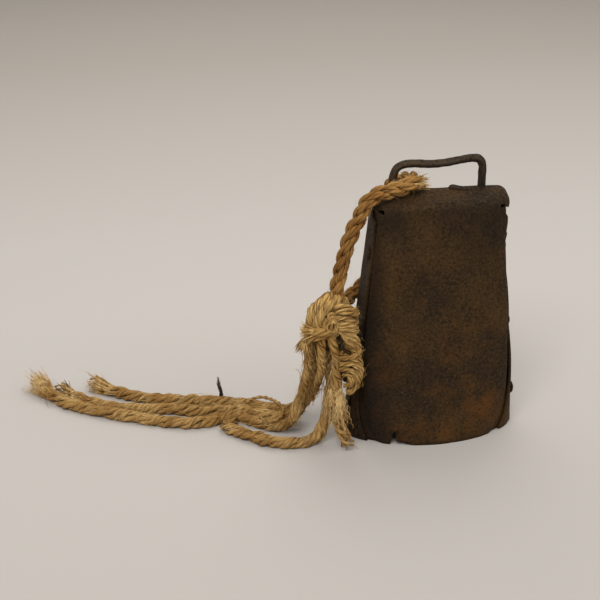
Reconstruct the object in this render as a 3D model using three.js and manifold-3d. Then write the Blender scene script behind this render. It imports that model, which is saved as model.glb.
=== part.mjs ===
import * as THREE from "three";
import { mergeVertices } from "three/addons/utils/BufferGeometryUtils.js";
import Module from "manifold-3d";

// A farmyard dinner bell of the hand-made cowbell kind: one sheet of iron folded over at the
// crown, its sides lapped and riveted, an iron bail through the crown, a free clapper on a
// clinched staple, and a sisal rope knotted through the bail with its strands unlaid below.
// Millimetres, +Z up. The origin is the middle of the mouth, on the plane of the lip; the broad
// faces look along -Y (front) and +Y (back).

// shell
const RIDGE_Z = 160;
const EAVE_Z = 154.1;
const PANEL_TOP = 151;
const SHEET = 1.7;
const GAP = 0.35;
const CROWN_W = 37.5;
const CROWN_D = 16.1;
const MOUTH_W = 55;
const MOUTH_D = 26.9;
const CROWN_SQUARE = 8.3;
const MOUTH_SQUARE = 1.85;
const DEPTH_POWER = 1.127;
const ACROSS = 30;
const UP = 7;
const EAR_LEFT = 41.5;
const EAR_RIGHT = 44.5;
const EAR_DROOP = 6.5;

// bail over the crown
const BAIL_X = 26.8;
const BAIL_THICK = 5;
const BAIL_TOP = 175.4;
const BAIL_END = 150.5;

// clapper
const STAPLE_X = 8;
const STAPLE_R = 1.7;
const STAPLE_LOW = 144;
const LINK_R = 6.5;
const LINK_WIRE = 1.6;
const EYE_R = 6;
const EYE_WIRE = 2;
const ROD_R = 2.4;
const BALL_R = 9.5;
const BALL_Z = 24;
const PEEN_Z = 12.6;
const RUN = 0.3;

// rivets of the side laps
const RIVET_R = 2.1;
const RIVET_HEAD = 4.2;
const RIVET_Z = [122, 72, 24];

// rope
const ROPE_D = 9.5;
const STRAND_D = 5.6;
const YARN_D = 2.4;

const wasm = await Module();
wasm.setup();
const IRON = { color: 0x34261a, roughness: 0.82, metalness: 0.35 };
const WORN = { color: 0x43392c, roughness: 0.7, metalness: 0.5 };
const SISAL = { color: 0xa47f49, roughness: 0.95, metalness: 0 };
const bell = new THREE.Group();

function node(name, geometry, look) {
  const mesh = new THREE.Mesh(geometry, new THREE.MeshStandardMaterial(look));
  mesh.name = name;
  bell.add(mesh);
  return mesh;
}

function positionsOnly(geometry) {
  const plain = geometry.clone();
  for (const key of Object.keys(plain.attributes)) {
    if (key !== "position") plain.deleteAttribute(key);
  }
  return mergeVertices(plain, 1e-4);
}

function toSolid(geometry) {
  const merged = positionsOnly(geometry);
  const vertProperties = new Float32Array(merged.attributes.position.array);
  const triVerts = new Uint32Array(merged.index.array);
  return new wasm.Manifold(new wasm.Mesh({ numProp: 3, vertProperties, triVerts }));
}

function toGeometry(solid) {
  const mesh = solid.getMesh();
  const geometry = new THREE.BufferGeometry();
  geometry.setAttribute("position", new THREE.BufferAttribute(mesh.vertProperties, 3));
  geometry.setIndex(new THREE.BufferAttribute(mesh.triVerts, 1));
  return geometry;
}

// A block of unit size with every vertex moved by place(u, v, w), each of them from 0 to 1.
function formed(across, up, place) {
  const geometry = positionsOnly(new THREE.BoxGeometry(1, 1, 1, across, up, 1));
  const at = geometry.attributes.position;
  for (let i = 0; i < at.count; i += 1) {
    const p = place(at.getX(i) + 0.5, at.getY(i) + 0.5, at.getZ(i) + 0.5);
    at.setXYZ(i, p.x, p.y, p.z);
  }
  return geometry;
}

function roundSection(radius, sides) {
  const shape = new THREE.Shape();
  for (let i = 0; i < sides; i += 1) {
    const turn = (2 * Math.PI * (i + 0.5)) / sides;
    const x = radius * Math.cos(turn);
    const y = radius * Math.sin(turn);
    if (i === 0) shape.moveTo(x, y);
    else shape.lineTo(x, y);
  }
  shape.closePath();
  return shape;
}

function route(points) {
  const vectors = points.map((p) => new THREE.Vector3(p[0], p[1], p[2]));
  return new THREE.CatmullRomCurve3(vectors, false, "centripetal");
}

function tube(points, radius, sides, steps) {
  const extrudePath = route(points);
  const section = roundSection(radius, sides);
  return new THREE.ExtrudeGeometry(section, { steps, extrudePath, bevelEnabled: false });
}

function smooth(edge0, edge1, x) {
  const t = Math.min(1, Math.max(0, (x - edge0) / (edge1 - edge0)));
  return t * t * (3 - 2 * t);
}

// The outer outline of the shell at height z: a boxy rectangle at the crown that
// opens into an oval at the mouth.
function outline(z) {
  const t = Math.max(0, 1 - z / EAVE_Z);
  return {
    w: CROWN_W + (MOUTH_W - CROWN_W) * t,
    d: CROWN_D + (MOUTH_D - CROWN_D) * Math.pow(t, DEPTH_POWER),
    n: CROWN_SQUARE + (MOUTH_SQUARE - CROWN_SQUARE) * t,
  };
}

function outlinePoint(o, phi) {
  const c = Math.cos(phi);
  const s = Math.sin(phi);
  const x = o.w * Math.sign(c) * Math.pow(Math.abs(c), 2 / o.n);
  const y = o.d * Math.sign(s) * Math.pow(Math.abs(s), 2 / o.n);
  return new THREE.Vector2(x, y);
}

function outwardAt(o, p) {
  const nx = Math.sign(p.x) * Math.pow(Math.abs(p.x) / o.w, o.n - 1) / o.w;
  const ny = Math.sign(p.y) * Math.pow(Math.abs(p.y) / o.d, o.n - 1) / o.d;
  return new THREE.Vector2(nx, ny).normalize();
}

// The point a share u of the way along the outline from one side angle to the other.
function alongOutline(o, start, end, u) {
  const count = 360;
  const points = [];
  const lengths = [0];
  for (let i = 0; i <= count; i += 1) {
    points.push(outlinePoint(o, start + ((end - start) * i) / count));
    if (i > 0) lengths.push(lengths[i - 1] + points[i].distanceTo(points[i - 1]));
  }
  const want = u * lengths[count];
  let k = 1;
  while (k < count && lengths[k] < want) k += 1;
  const span = lengths[k] - lengths[k - 1];
  const share = span > 0 ? (want - lengths[k - 1]) / span : 0;
  return points[k - 1].clone().lerp(points[k], share);
}

function sideAngle(o, share) {
  return Math.asin(Math.pow(share, o.n / 2));
}

// The back half's flanges lie outside; their free edge runs down near the front corners.
function freeEdge(z) {
  return 0.42 + 0.16 * (1 - z / EAVE_Z);
}

// Front half: its flanges step inwards behind the free edge and run on past the middle.
function frontPanel() {
  return formed(ACROSS, UP, (u, v, w) => {
    const z = v * PANEL_TOP;
    const o = outline(z);
    const reach = sideAngle(o, 0.3);
    const p = alongOutline(o, Math.PI - reach, 2 * Math.PI + reach, u);
    const edge = freeEdge(z);
    const start = edge + 0.38 - 0.2 * (1 - z / EAVE_Z);
    const tucked = smooth(-start, -edge - 0.07, p.y / o.d);
    const inset = tucked * (SHEET + GAP) + (1 - w) * SHEET;
    const n = outwardAt(o, p);
    return new THREE.Vector3(p.x - n.x * inset, p.y - n.y * inset, z);
  });
}

function backPanel() {
  return formed(ACROSS, UP, (u, v, w) => {
    const z = v * PANEL_TOP;
    const o = outline(z);
    const reach = sideAngle(o, freeEdge(z));
    const p = alongOutline(o, -reach, Math.PI + reach, u);
    const n = outwardAt(o, p);
    const inset = (1 - w) * SHEET;
    return new THREE.Vector3(p.x - n.x * inset, p.y - n.y * inset, z);
  });
}

// Half of the crown's profile, from the panel's top edge round the soft bend to the ridge.
function crownProfile(t) {
  const bend = 5;
  const y0 = outline(PANEL_TOP - 3).d - 0.25;
  const pitch = Math.atan2(RIDGE_Z - EAVE_Z, CROWN_D);
  const curve = new THREE.CubicBezierCurve(
    new THREE.Vector2(y0, PANEL_TOP - 3),
    new THREE.Vector2(y0 - 0.3, PANEL_TOP + 2.6),
    new THREE.Vector2(y0 - 0.6, EAVE_Z + 0.6),
    new THREE.Vector2(y0 - bend, RIDGE_Z - (y0 - bend) * Math.tan(pitch)),
  );
  if (t < 0.5) return curve.getPoint(t * 2);
  const low = curve.getPoint(1);
  return low.lerp(new THREE.Vector2(0, RIDGE_Z), t * 2 - 1);
}

// Crown: the fold between the halves, with both ends pinched out into drooping ears.
function crown() {
  return formed(16, 14, (u, v, w) => {
    const half = v < 0.5 ? 1 : -1;
    const t = 1 - Math.abs(2 * v - 1);
    const p = crownProfile(t);
    const before = crownProfile(Math.max(0, t - 0.02));
    const after = crownProfile(Math.min(1, t + 0.02));
    const run = after.sub(before).normalize();
    const normal = t > 0.98 ? new THREE.Vector2(0, 1) : new THREE.Vector2(-run.y, run.x).negate();
    const lift = t > 0.98 ? SHEET * 1.04 : SHEET;
    const roof = smooth(0.2, 0.75, t);
    const left = CROWN_W - 0.5 + (EAR_LEFT - CROWN_W) * roof;
    const right = CROWN_W - 0.5 + (EAR_RIGHT - CROWN_W) * roof;
    const x = -left + (left + right) * u;
    const over = Math.max(0, Math.abs(x) - CROWN_W + 4) / 10;
    const droop = EAR_DROOP * over * over * roof;
    const y = p.x - Math.abs(normal.x) * (1 - w) * lift;
    const z = p.y - Math.abs(normal.y) * (1 - w) * lift - droop;
    return new THREE.Vector3(x, -half * y, z);
  });
}

function holeTool(x, y, z, radius, length, sides) {
  const tool = new THREE.CylinderGeometry(radius, radius, length, sides);
  tool.rotateX(Math.PI / 2);
  tool.rotateZ(sides === 4 ? Math.PI / 4 : 0);
  tool.translate(x, y, z);
  return toSolid(tool);
}

function lipNotch() {
  const shape = new THREE.Shape();
  shape.moveTo(-29, -3);
  shape.lineTo(-26.5, 0.8);
  shape.lineTo(-26, 3.4);
  shape.lineTo(-24.6, 7.6);
  shape.lineTo(-23.8, 4.2);
  shape.lineTo(-21.6, 2.6);
  shape.lineTo(-17.5, -0.4);
  shape.lineTo(-17, -3);
  shape.closePath();
  const tool = new THREE.ExtrudeGeometry(shape, { depth: 16, bevelEnabled: false });
  tool.rotateX(Math.PI / 2);
  tool.translate(0, -14, 0);
  return toSolid(tool);
}

// Where a rivet crosses the lap: on the side, a little in front of the middle.
function rivetPlace(z) {
  const o = outline(z);
  const p = outlinePoint(o, Math.PI + sideAngle(o, 0.12));
  return { x: -p.x, y: p.y };
}

function rivetHole(side, z) {
  const p = rivetPlace(z);
  const tool = new THREE.CylinderGeometry(RIVET_R + 0.3, RIVET_R + 0.3, 16, 12);
  tool.rotateZ(Math.PI / 2);
  tool.translate(side * p.x, p.y, z);
  return toSolid(tool);
}

function bellShell() {
  let shell = toSolid(frontPanel()).add(toSolid(crown())).add(toSolid(backPanel()));
  shell = shell.subtract(lipNotch());
  for (const side of [-1, 1]) {
    shell = shell.subtract(holeTool(side * BAIL_X, 0, RIDGE_Z, 4.05, 30, 4));
    shell = shell.subtract(holeTool(side * STAPLE_X, 0, RIDGE_Z, STAPLE_R + 0.35, 30, 10));
    for (const z of RIVET_Z) shell = shell.subtract(rivetHole(side, z));
  }
  return toGeometry(shell);
}

// Rivet: a domed head outside, a shank through both flanges and a hammered tail inside.
function rivet() {
  const inner = -(2 * SHEET + GAP) - 0.7;
  const profile = [
    new THREE.Vector2(0, inner - 1.3),
    new THREE.Vector2(2.6, inner - 1.1),
    new THREE.Vector2(3.2, inner),
    new THREE.Vector2(RIVET_R, inner),
    new THREE.Vector2(RIVET_R, 0.55),
    new THREE.Vector2(RIVET_HEAD, 0.55),
    new THREE.Vector2(RIVET_HEAD * 0.86, 1.4),
    new THREE.Vector2(RIVET_HEAD * 0.5, 2.1),
    new THREE.Vector2(0, 2.4),
  ];
  return new THREE.LatheGeometry(profile, 12);
}

function placeRivets() {
  const names = ["top", "middle", "bottom"];
  for (const side of [-1, 1]) {
    RIVET_Z.forEach((z, i) => {
      const p = rivetPlace(z);
      const name = `rivet_${side < 0 ? "left" : "right"}_${names[i]}`;
      const mesh = node(name, rivet(), WORN);
      mesh.rotation.z = (-side * Math.PI) / 2;
      mesh.position.set(side * p.x, p.y, z);
    });
  }
}

// Bail: squarish forged rod, bent cold, its feet spread under the crown.
function bail() {
  const shape = new THREE.Shape();
  const h = BAIL_THICK / 2;
  shape.moveTo(-h + 0.7, -h);
  shape.lineTo(h - 0.7, -h);
  shape.lineTo(h, -h + 0.7);
  shape.lineTo(h, h - 0.7);
  shape.lineTo(h - 0.7, h);
  shape.lineTo(-h + 0.7, h);
  shape.lineTo(-h, h - 0.7);
  shape.lineTo(-h, -h + 0.7);
  shape.closePath();
  const top = BAIL_TOP;
  const points = [
    [-BAIL_X, 0, BAIL_END],
    [-BAIL_X, 0, RIDGE_Z + 1],
    [-BAIL_X, 0, RIDGE_Z + 7],
    [-BAIL_X + 0.4, 0, RIDGE_Z + 10.2],
    [-BAIL_X + 2.2, 0, RIDGE_Z + 13.4],
    [-BAIL_X + 5.6, 0, top - 0.2],
    [-BAIL_X + 10, 0, top],
    [-8, 0, top - 0.3],
    [2, 0, top],
    [11, 0, top + 0.9],
    [19, 0, top + 1.7],
    [BAIL_X - 3.6, 0, top + 1.6],
    [BAIL_X - 1, 0, top - 0.8],
    [BAIL_X, 0, top - 4],
    [BAIL_X, 0, RIDGE_Z + 7],
    [BAIL_X, 0, RIDGE_Z + 1],
    [BAIL_X, 0, BAIL_END],
  ];
  const extrudePath = route(points);
  const rod = new THREE.ExtrudeGeometry(shape, { steps: 44, extrudePath, bevelEnabled: false });
  let solid = toSolid(rod);
  for (const side of [-1, 1]) {
    const foot = new THREE.CylinderGeometry(3.1, 4.9, 2.4, 16);
    foot.rotateX(Math.PI / 2);
    foot.translate(side * BAIL_X, 0, BAIL_END + 1.1);
    solid = solid.add(toSolid(foot));
    const seat = new THREE.BoxGeometry(8, BAIL_THICK, 1.6);
    seat.translate(0, 0, top - 2.2);
    if (side > 0) solid = solid.add(toSolid(seat));
  }
  return toGeometry(solid);
}

// Staple: round iron, its loop hanging inside and both legs clinched over on the crown.
function staple() {
  const x = STAPLE_X;
  const over = RIDGE_Z + STAPLE_R + 0.5;
  return tube(
    [
      [x + 12, -3.2, over - 0.9],
      [x + 6, -1.7, over - 0.2],
      [x + 2.4, -0.5, over],
      [x + 0.3, 0, RIDGE_Z + 0.6],
      [x, 0, RIDGE_Z - 3],
      [x, 0, 153],
      [x - 1.6, 0, 147.6],
      [x - 4.6, 0, STAPLE_LOW + 0.6],
      [0, 0, STAPLE_LOW],
      [-x + 4.6, 0, STAPLE_LOW + 0.6],
      [-x + 1.6, 0, 147.6],
      [-x, 0, 153],
      [-x, 0, RIDGE_Z - 3],
      [-x, 0.3, RIDGE_Z + 0.8],
      [-x + 0.3, 2.4, over - 0.1],
      [-x + 0.8, 5.4, over - 1.2],
      [-x + 1.2, 8.6, over - 2.3],
    ],
    STAPLE_R,
    8,
    48,
  );
}

const linkZ = STAPLE_LOW + STAPLE_R + RUN - LINK_R + LINK_WIRE;
const linkLow = linkZ - LINK_R;
const eyeZ = linkLow + LINK_WIRE + RUN - EYE_R + EYE_WIRE;

function link() {
  const ring = new THREE.TorusGeometry(LINK_R, LINK_WIRE, 8, 24);
  ring.rotateY(Math.PI / 2);
  ring.translate(0, 0, linkZ);
  return ring;
}

function clapperRod() {
  const eye = new THREE.TorusGeometry(EYE_R, EYE_WIRE, 8, 24);
  eye.rotateX(Math.PI / 2);
  eye.translate(0, 0, eyeZ);
  const top = eyeZ - EYE_R + 0.6;
  const profile = [
    new THREE.Vector2(0, PEEN_Z),
    new THREE.Vector2(3.1, PEEN_Z + 0.3),
    new THREE.Vector2(3.4, PEEN_Z + 1.5),
    new THREE.Vector2(ROD_R, PEEN_Z + 1.6),
    new THREE.Vector2(ROD_R, 60),
    new THREE.Vector2(ROD_R + 0.2, top - 8),
    new THREE.Vector2(ROD_R + 0.5, top - 2),
    new THREE.Vector2(1.6, top),
    new THREE.Vector2(0, top),
  ];
  const rod = new THREE.LatheGeometry(profile, 12);
  rod.rotateX(Math.PI / 2);
  return toGeometry(toSolid(eye).add(toSolid(rod)));
}

function clapperBall() {
  const low = BALL_Z - Math.sqrt(BALL_R * BALL_R - 25) - 0.9;
  const profile = [];
  const bore = ROD_R + 0.3;
  const first = Math.asin(4.2 / BALL_R);
  for (let i = 0; i <= 10; i += 1) {
    const turn = first + ((Math.PI - 2 * first) * i) / 10;
    const r = BALL_R * Math.sin(turn);
    const z = Math.max(BALL_Z - BALL_R * Math.cos(turn), low);
    profile.push(new THREE.Vector2(r, z));
  }
  profile.unshift(new THREE.Vector2(bore, profile[0].y));
  profile.push(new THREE.Vector2(bore, profile[profile.length - 1].y));
  profile.push(profile[0].clone());
  const ball = new THREE.LatheGeometry(profile, 20);
  ball.rotateX(Math.PI / 2);
  return ball;
}

// Routes of the rope and of the strands it unlays into, knot end first.
const LOOP_ROUTE = [
  [-63.6, -14, 98.6],
  [-62.6, -13.6, 104],
  [-60.6, -12.8, 113],
  [-58.4, -12, 122],
  [-55.8, -11.4, 131],
  [-52.6, -11, 140],
  [-48.4, -11, 148.6],
  [-44.8, -11.8, 157],
  [-38.2, -11.8, 161.8],
  [-31.4, -10.4, 163],
  [-24.6, -8.4, 163.8],
  [-18.4, -6.6, 165],
  [-13.8, -2.4, 165.8],
  [-14.6, 3.6, 165],
  [-17, 9.4, 163],
  [-19.6, 14.8, 160.8],
  [-21.8, 19.8, 157.4],
  [-24, 23, 151],
  [-26, 24, 141],
  [-27.6, 25, 128],
  [-28.8, 26, 114],
  [-31.6, 27.6, 102],
  [-36.2, 28.2, 90.6],
  [-42.6, 25.6, 85.6],
  [-48.9, 19.8, 83.4],
  [-54.4, 12.2, 82.6],
  [-59, 4.8, 82.6],
  [-61.6, -1.4, 82.2],
];
const STRAND_ROUTES = {
  strand_short: [
    [-63.2, -22, 63.2],
    [-63.8, -22.4, 56],
    [-64.2, -22.8, 46],
    [-64.2, -23.2, 36],
    [-63.4, -23.4, 26],
    [-61.2, -23.4, 17],
    [-58.6, -23.2, 9],
    [-56.6, -22.8, 3.2],
  ],
  strand_low: [
    [-80.2, -19, 63.2],
    [-81, -17.6, 54],
    [-82, -14.4, 44],
    [-83.6, -10, 33],
    [-85.2, -6, 22],
    [-88.4, -1.8, 12],
    [-93.6, 2.8, 5.4],
    [-101.8, 8.4, 3.2],
    [-111, 15.6, 3],
    [-120, 22.6, 3],
    [-129.4, 23.2, 3],
    [-138, 20.4, 3],
    [-147, 19.4, 3],
    [-158, 21.4, 3],
    [-171, 26.2, 3],
    [-187.2, 33.2, 3],
    [-198.4, 38.8, 3],
    [-209.8, 45, 3],
    [-220, 51, 3],
    [-229.4, 57.8, 3.2],
    [-238, 66.4, 3.8],
    [-245.4, 77, 5],
    [-251.6, 88.6, 7],
  ],
  strand_middle: [
    [-72.4, -21.2, 63.2],
    [-73, -19.6, 54],
    [-74.2, -15, 44],
    [-76.2, -8.6, 34],
    [-79.4, -1, 23.4],
    [-83.8, 6.6, 13],
    [-89.8, 13.6, 5.6],
    [-98.2, 20.2, 3.2],
    [-108, 26.6, 3],
    [-119, 31.2, 3],
    [-131, 32.2, 3],
    [-144, 34.2, 3],
    [-157, 38.2, 3],
    [-170, 41.4, 3],
    [-181, 43.2, 3],
    [-192, 45.6, 3],
    [-203, 50.4, 3],
    [-212.4, 56.2, 3],
    [-221, 62.4, 3.2],
    [-229, 69.6, 4],
    [-236.4, 78.4, 5.6],
  ],
  strand_upper: [
    [-74.8, -11.6, 63.2],
    [-74.2, -9.4, 54],
    [-73.8, -5, 45],
    [-74.4, 1.4, 35],
    [-77, 8.6, 24],
    [-81.2, 15.6, 13.6],
    [-87, 22, 6],
    [-95.6, 29, 3.2],
    [-107, 35.6, 3],
    [-120, 41, 3],
    [-133, 45, 3],
    [-147, 48.6, 3],
    [-161, 51.8, 3],
    [-175, 56.4, 3],
    [-187, 62, 3],
    [-197, 68.2, 3.2],
    [-206, 75.6, 4],
    [-214, 84, 5.6],
  ],
  strand_doubled: [
    [-66.6, -13.8, 63.2],
    [-66.2, -13, 52],
    [-66.2, -12.4, 40],
    [-66.8, -11.8, 28],
    [-68.6, -11.4, 16],
    [-72.6, -12, 7],
    [-79.2, -14, 3.2],
    [-87.4, -15.4, 3],
    [-96.2, -14, 3],
    [-105, -9.8, 3],
    [-113.4, -3.6, 3],
    [-120.6, 2.6, 3],
    [-127, 8.2, 3],
    [-129, 12.6, 3],
    [-126.6, 16.2, 3],
    [-121.4, 15.8, 3],
  ],
};
const YARN_ROUTE = [
  [-113.4, 32.5, 7.4],
  [-109.6, 36.8, 7.4],
  [-105, 38.7, 7.4],
  [-100.4, 37.6, 7.4],
  [-96.4, 33.2, 7.8],
  [-93, 26.6, 8.6],
  [-91.6, 20.4, 9.2],
  [-92, 12.6, 9.9],
  [-94.4, 6.4, 10.1],
  [-98, 4.2, 9.2],
  [-102, 6, 7.8],
  [-107.2, 12.3, 7.6],
];

function ropeKnot() {
  const lump = new THREE.SphereGeometry(1, 18, 12);
  lump.scale(16.4, 12.6, 15.2);
  lump.translate(-65.4, -14.6, 81.2);
  const wrap = new THREE.SphereGeometry(1, 16, 10);
  wrap.scale(10.6, 9.8, 12);
  wrap.translate(-72, -15.6, 77);
  let solid = toSolid(lump).add(toSolid(wrap));
  const floor = new THREE.BoxGeometry(80, 80, 20);
  floor.translate(-65, -14, 53.7);
  solid = solid.subtract(toSolid(floor));
  const lift = new THREE.BoxGeometry(80, 80, 20);
  lift.translate(-65, -14, 108.3);
  solid = solid.subtract(toSolid(lift));
  const back = tube(LOOP_ROUTE.slice(-4), ROPE_D / 2 + 0.35, 12, 10);
  solid = solid.subtract(toSolid(back));
  return toGeometry(solid);
}

// A hank of loose yarn loops that bulges from the knot along the bell's left side.
function yarnLoops() {
  const hank = new THREE.SphereGeometry(1, 16, 12);
  hank.scale(5, 7, 15.4);
  hank.rotateY(-0.06);
  hank.translate(-53.8, -21.8, 47.6);
  return hank;
}

function freeRope() {
  node("rope_loop", tube(LOOP_ROUTE, ROPE_D / 2, 10, 44), SISAL);
  node("rope_knot", ropeKnot(), SISAL);
  node("yarn_loops", yarnLoops(), SISAL);
  for (const [name, points] of Object.entries(STRAND_ROUTES)) {
    const line = route(points);
    const steps = Math.min(60, Math.ceil(line.getLength() / 8));
    node(name, tube(points, STRAND_D / 2, 8, steps), SISAL);
  }
  node("yarn_curl", tube(YARN_ROUTE, YARN_D / 2, 8, 26), SISAL);
}

node("bell_shell", bellShell(), IRON);
placeRivets();
node("bail_handle", bail(), WORN);
node("clapper_staple", staple(), WORN);
node("clapper_link", link(), WORN);
node("clapper_rod", clapperRod(), WORN);
node("clapper_ball", clapperBall(), WORN);
freeRope();

export default bell;
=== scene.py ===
import math
import random

import bmesh
import bpy
from mathutils import Matrix, Quaternion, Vector, noise


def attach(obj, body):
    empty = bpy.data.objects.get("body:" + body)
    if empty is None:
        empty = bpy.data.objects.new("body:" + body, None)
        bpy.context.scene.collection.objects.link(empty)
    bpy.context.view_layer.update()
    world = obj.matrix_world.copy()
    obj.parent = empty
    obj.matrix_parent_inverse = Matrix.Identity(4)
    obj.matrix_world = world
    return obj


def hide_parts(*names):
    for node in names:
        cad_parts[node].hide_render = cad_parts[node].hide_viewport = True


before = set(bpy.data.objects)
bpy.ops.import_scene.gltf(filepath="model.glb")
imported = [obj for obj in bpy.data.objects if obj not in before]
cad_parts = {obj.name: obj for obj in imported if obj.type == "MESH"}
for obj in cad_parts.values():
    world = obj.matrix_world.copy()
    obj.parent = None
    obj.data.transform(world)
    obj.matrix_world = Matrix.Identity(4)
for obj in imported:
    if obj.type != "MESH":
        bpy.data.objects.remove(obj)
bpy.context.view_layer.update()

# ---------------------------------------------------------------------------
# Camera: stands to the left of the bell, above the crown, and looks down past
# the rope at the broad front face.
# ---------------------------------------------------------------------------
MM = 0.001
camera = bpy.data.objects.new("camera", bpy.data.cameras.new("camera"))
bpy.context.scene.collection.objects.link(camera)
camera.data.lens = 69.0
camera.data.sensor_width = 36
camera.data.clip_start = 0.01
aim = Matrix.Rotation(math.radians(-8.3125), 3, "Z")
aim = aim @ Matrix.Rotation(math.radians(90 - 24.205), 3, "X")
aim = aim @ Matrix.Rotation(math.radians(-0.555), 3, "Z")
camera.matrix_world = Matrix.Translation((-0.17383, -0.62649, 0.37811)) @ aim.to_4x4()
bpy.context.scene.camera = camera

# ---------------------------------------------------------------------------
# Sisal: the rope is laid from three strands and each strand from a few yarns
# of long straw-coloured leaf fibre, dusty outside and red-brown in the lay.
# ---------------------------------------------------------------------------
def node_group(name, inputs, outputs):
    """A shader group with its named sockets, each input given as (name, kind, start value)."""
    tree = bpy.data.node_groups.new(name, "ShaderNodeTree")
    for label, kind, start in inputs:
        socket = tree.interface.new_socket(label, in_out="INPUT", socket_type=kind)
        socket.default_value = start
    for label, kind in outputs:
        tree.interface.new_socket(label, in_out="OUTPUT", socket_type=kind)
    return tree, tree.nodes.new("NodeGroupInput"), tree.nodes.new("NodeGroupOutput")


def add_node(tree, kind, values=(), **settings):
    """A node with its settings, and with (socket, value or other socket) pairs filled in."""
    made = tree.nodes.new(kind)
    for key, value in settings.items():
        setattr(made, key, value)
    for socket, value in values:
        if isinstance(value, bpy.types.NodeSocket):
            tree.links.new(value, made.inputs[socket])
        else:
            made.inputs[socket].default_value = value
    return made


def sum_of(tree, operation, a, b, clamp=False):
    """The output of one maths node."""
    return add_node(tree, "ShaderNodeMath", [(0, a), (1, b)], operation=operation, use_clamp=clamp).outputs[0]


def ranged(tree, value, low, high, to_low=0.0, to_high=1.0):
    """A value moved from one range to another and held inside it."""
    made = add_node(tree, "ShaderNodeMapRange", [
        ("Value", value), ("From Min", low), ("From Max", high),
        ("To Min", to_low), ("To Max", to_high)])
    return made.outputs["Result"]


def blended(tree, share, a, b, blend="MIX"):
    """Two colours mixed."""
    made = add_node(tree, "ShaderNodeMix", [("Factor", share), (6, a), (7, b)],
                    data_type="RGBA", blend_type=blend)
    return made.outputs[2]


def new_material(name):
    """A material with only its Principled BSDF and output."""
    made = bpy.data.materials.new(name)
    made.use_nodes = True
    return made, made.node_tree, made.node_tree.nodes["Principled BSDF"]


def fibre_group():
    """Streaks that follow a yarn: its colour share, its roughness and its height."""
    tree, enter, leave = node_group("fibre_streaks", [
        ("Across", "NodeSocketFloat", 900.0), ("Along", "NodeSocketFloat", 60.0)],
        [("Streak", "NodeSocketFloat"), ("Patch", "NodeSocketFloat"), ("Height", "NodeSocketFloat")])
    place = add_node(tree, "ShaderNodeAttribute", attribute_name="fibre")
    stretch = add_node(tree, "ShaderNodeCombineXYZ", [
        (0, enter.outputs["Across"]), (1, enter.outputs["Across"]), (2, enter.outputs["Along"])])
    spread = add_node(tree, "ShaderNodeVectorMath", [
        (0, place.outputs["Vector"]), (1, stretch.outputs[0])], operation="MULTIPLY")
    streak = add_node(tree, "ShaderNodeTexNoise", [
        ("Vector", spread.outputs[0]), ("Scale", 1.0), ("Detail", 3.0), ("Roughness", 0.6)])
    world = add_node(tree, "ShaderNodeTexCoord")
    patch = add_node(tree, "ShaderNodeTexNoise", [
        ("Vector", world.outputs["Object"]), ("Scale", 70.0), ("Detail", 2.0)])
    tree.links.new(streak.outputs[0], leave.inputs["Streak"])
    tree.links.new(patch.outputs[0], leave.inputs["Patch"])
    tree.links.new(ranged(tree, streak.outputs[0], 0.3, 0.7), leave.inputs["Height"])
    return tree


FIBRE = fibre_group()


def sisal(name, pale, mid, deep, streaks=900.0):
    """Sisal fibre: pale where it is rubbed, deep between the fibres."""
    made, tree, shader = new_material(name)
    fibre = add_node(tree, "ShaderNodeGroup", node_tree=FIBRE)
    fibre.inputs["Across"].default_value = streaks
    base = blended(tree, ranged(tree, fibre.outputs["Patch"], 0.38, 0.62), mid, pale)
    base = blended(tree, ranged(tree, fibre.outputs["Streak"], 0.56, 0.3), base, deep)
    tree.links.new(base, shader.inputs["Base Color"])
    tree.links.new(ranged(tree, fibre.outputs["Streak"], 0.3, 0.7, 0.95, 0.7), shader.inputs["Roughness"])
    bump = add_node(tree, "ShaderNodeBump", [
        ("Strength", 0.8), ("Distance", 0.0006), ("Height", fibre.outputs["Height"])])
    tree.links.new(bump.outputs[0], shader.inputs["Normal"])
    shader.inputs["Specular IOR Level"].default_value = 0.25
    return made


ROPE_SISAL = sisal("rope_sisal", (0.39, 0.2, 0.05, 1), (0.24, 0.105, 0.02, 1), (0.055, 0.018, 0.003, 1))
STRAND_SISAL = sisal("strand_sisal", (0.58, 0.37, 0.125, 1), (0.37, 0.2, 0.05, 1), (0.085, 0.032, 0.006, 1))
TAIL_SISAL = sisal("unlaid_sisal", (0.48, 0.295, 0.1, 1), (0.32, 0.17, 0.045, 1), (0.08, 0.03, 0.006, 1))
# The loose fibres' paler straw is partly painted highlight on the fine fibres.
FIBRE_SISAL_HIGHLIGHTED = sisal("loose_fibre_sisal_painted_highlight", (0.7, 0.5, 0.22, 1), (0.45, 0.26, 0.075, 1), (0.2, 0.085, 0.018, 1), 300.0)
# The tarred fibre material is also laid on the dark lumps inside the knot and the loops, where it is painted shade.
DARK_FIBRE_AND_SHADE = sisal("tarred_fibre_and_painted_shade", (0.11, 0.07, 0.03, 1), (0.05, 0.03, 0.014, 1), (0.02, 0.012, 0.007, 1), 300.0)


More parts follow.
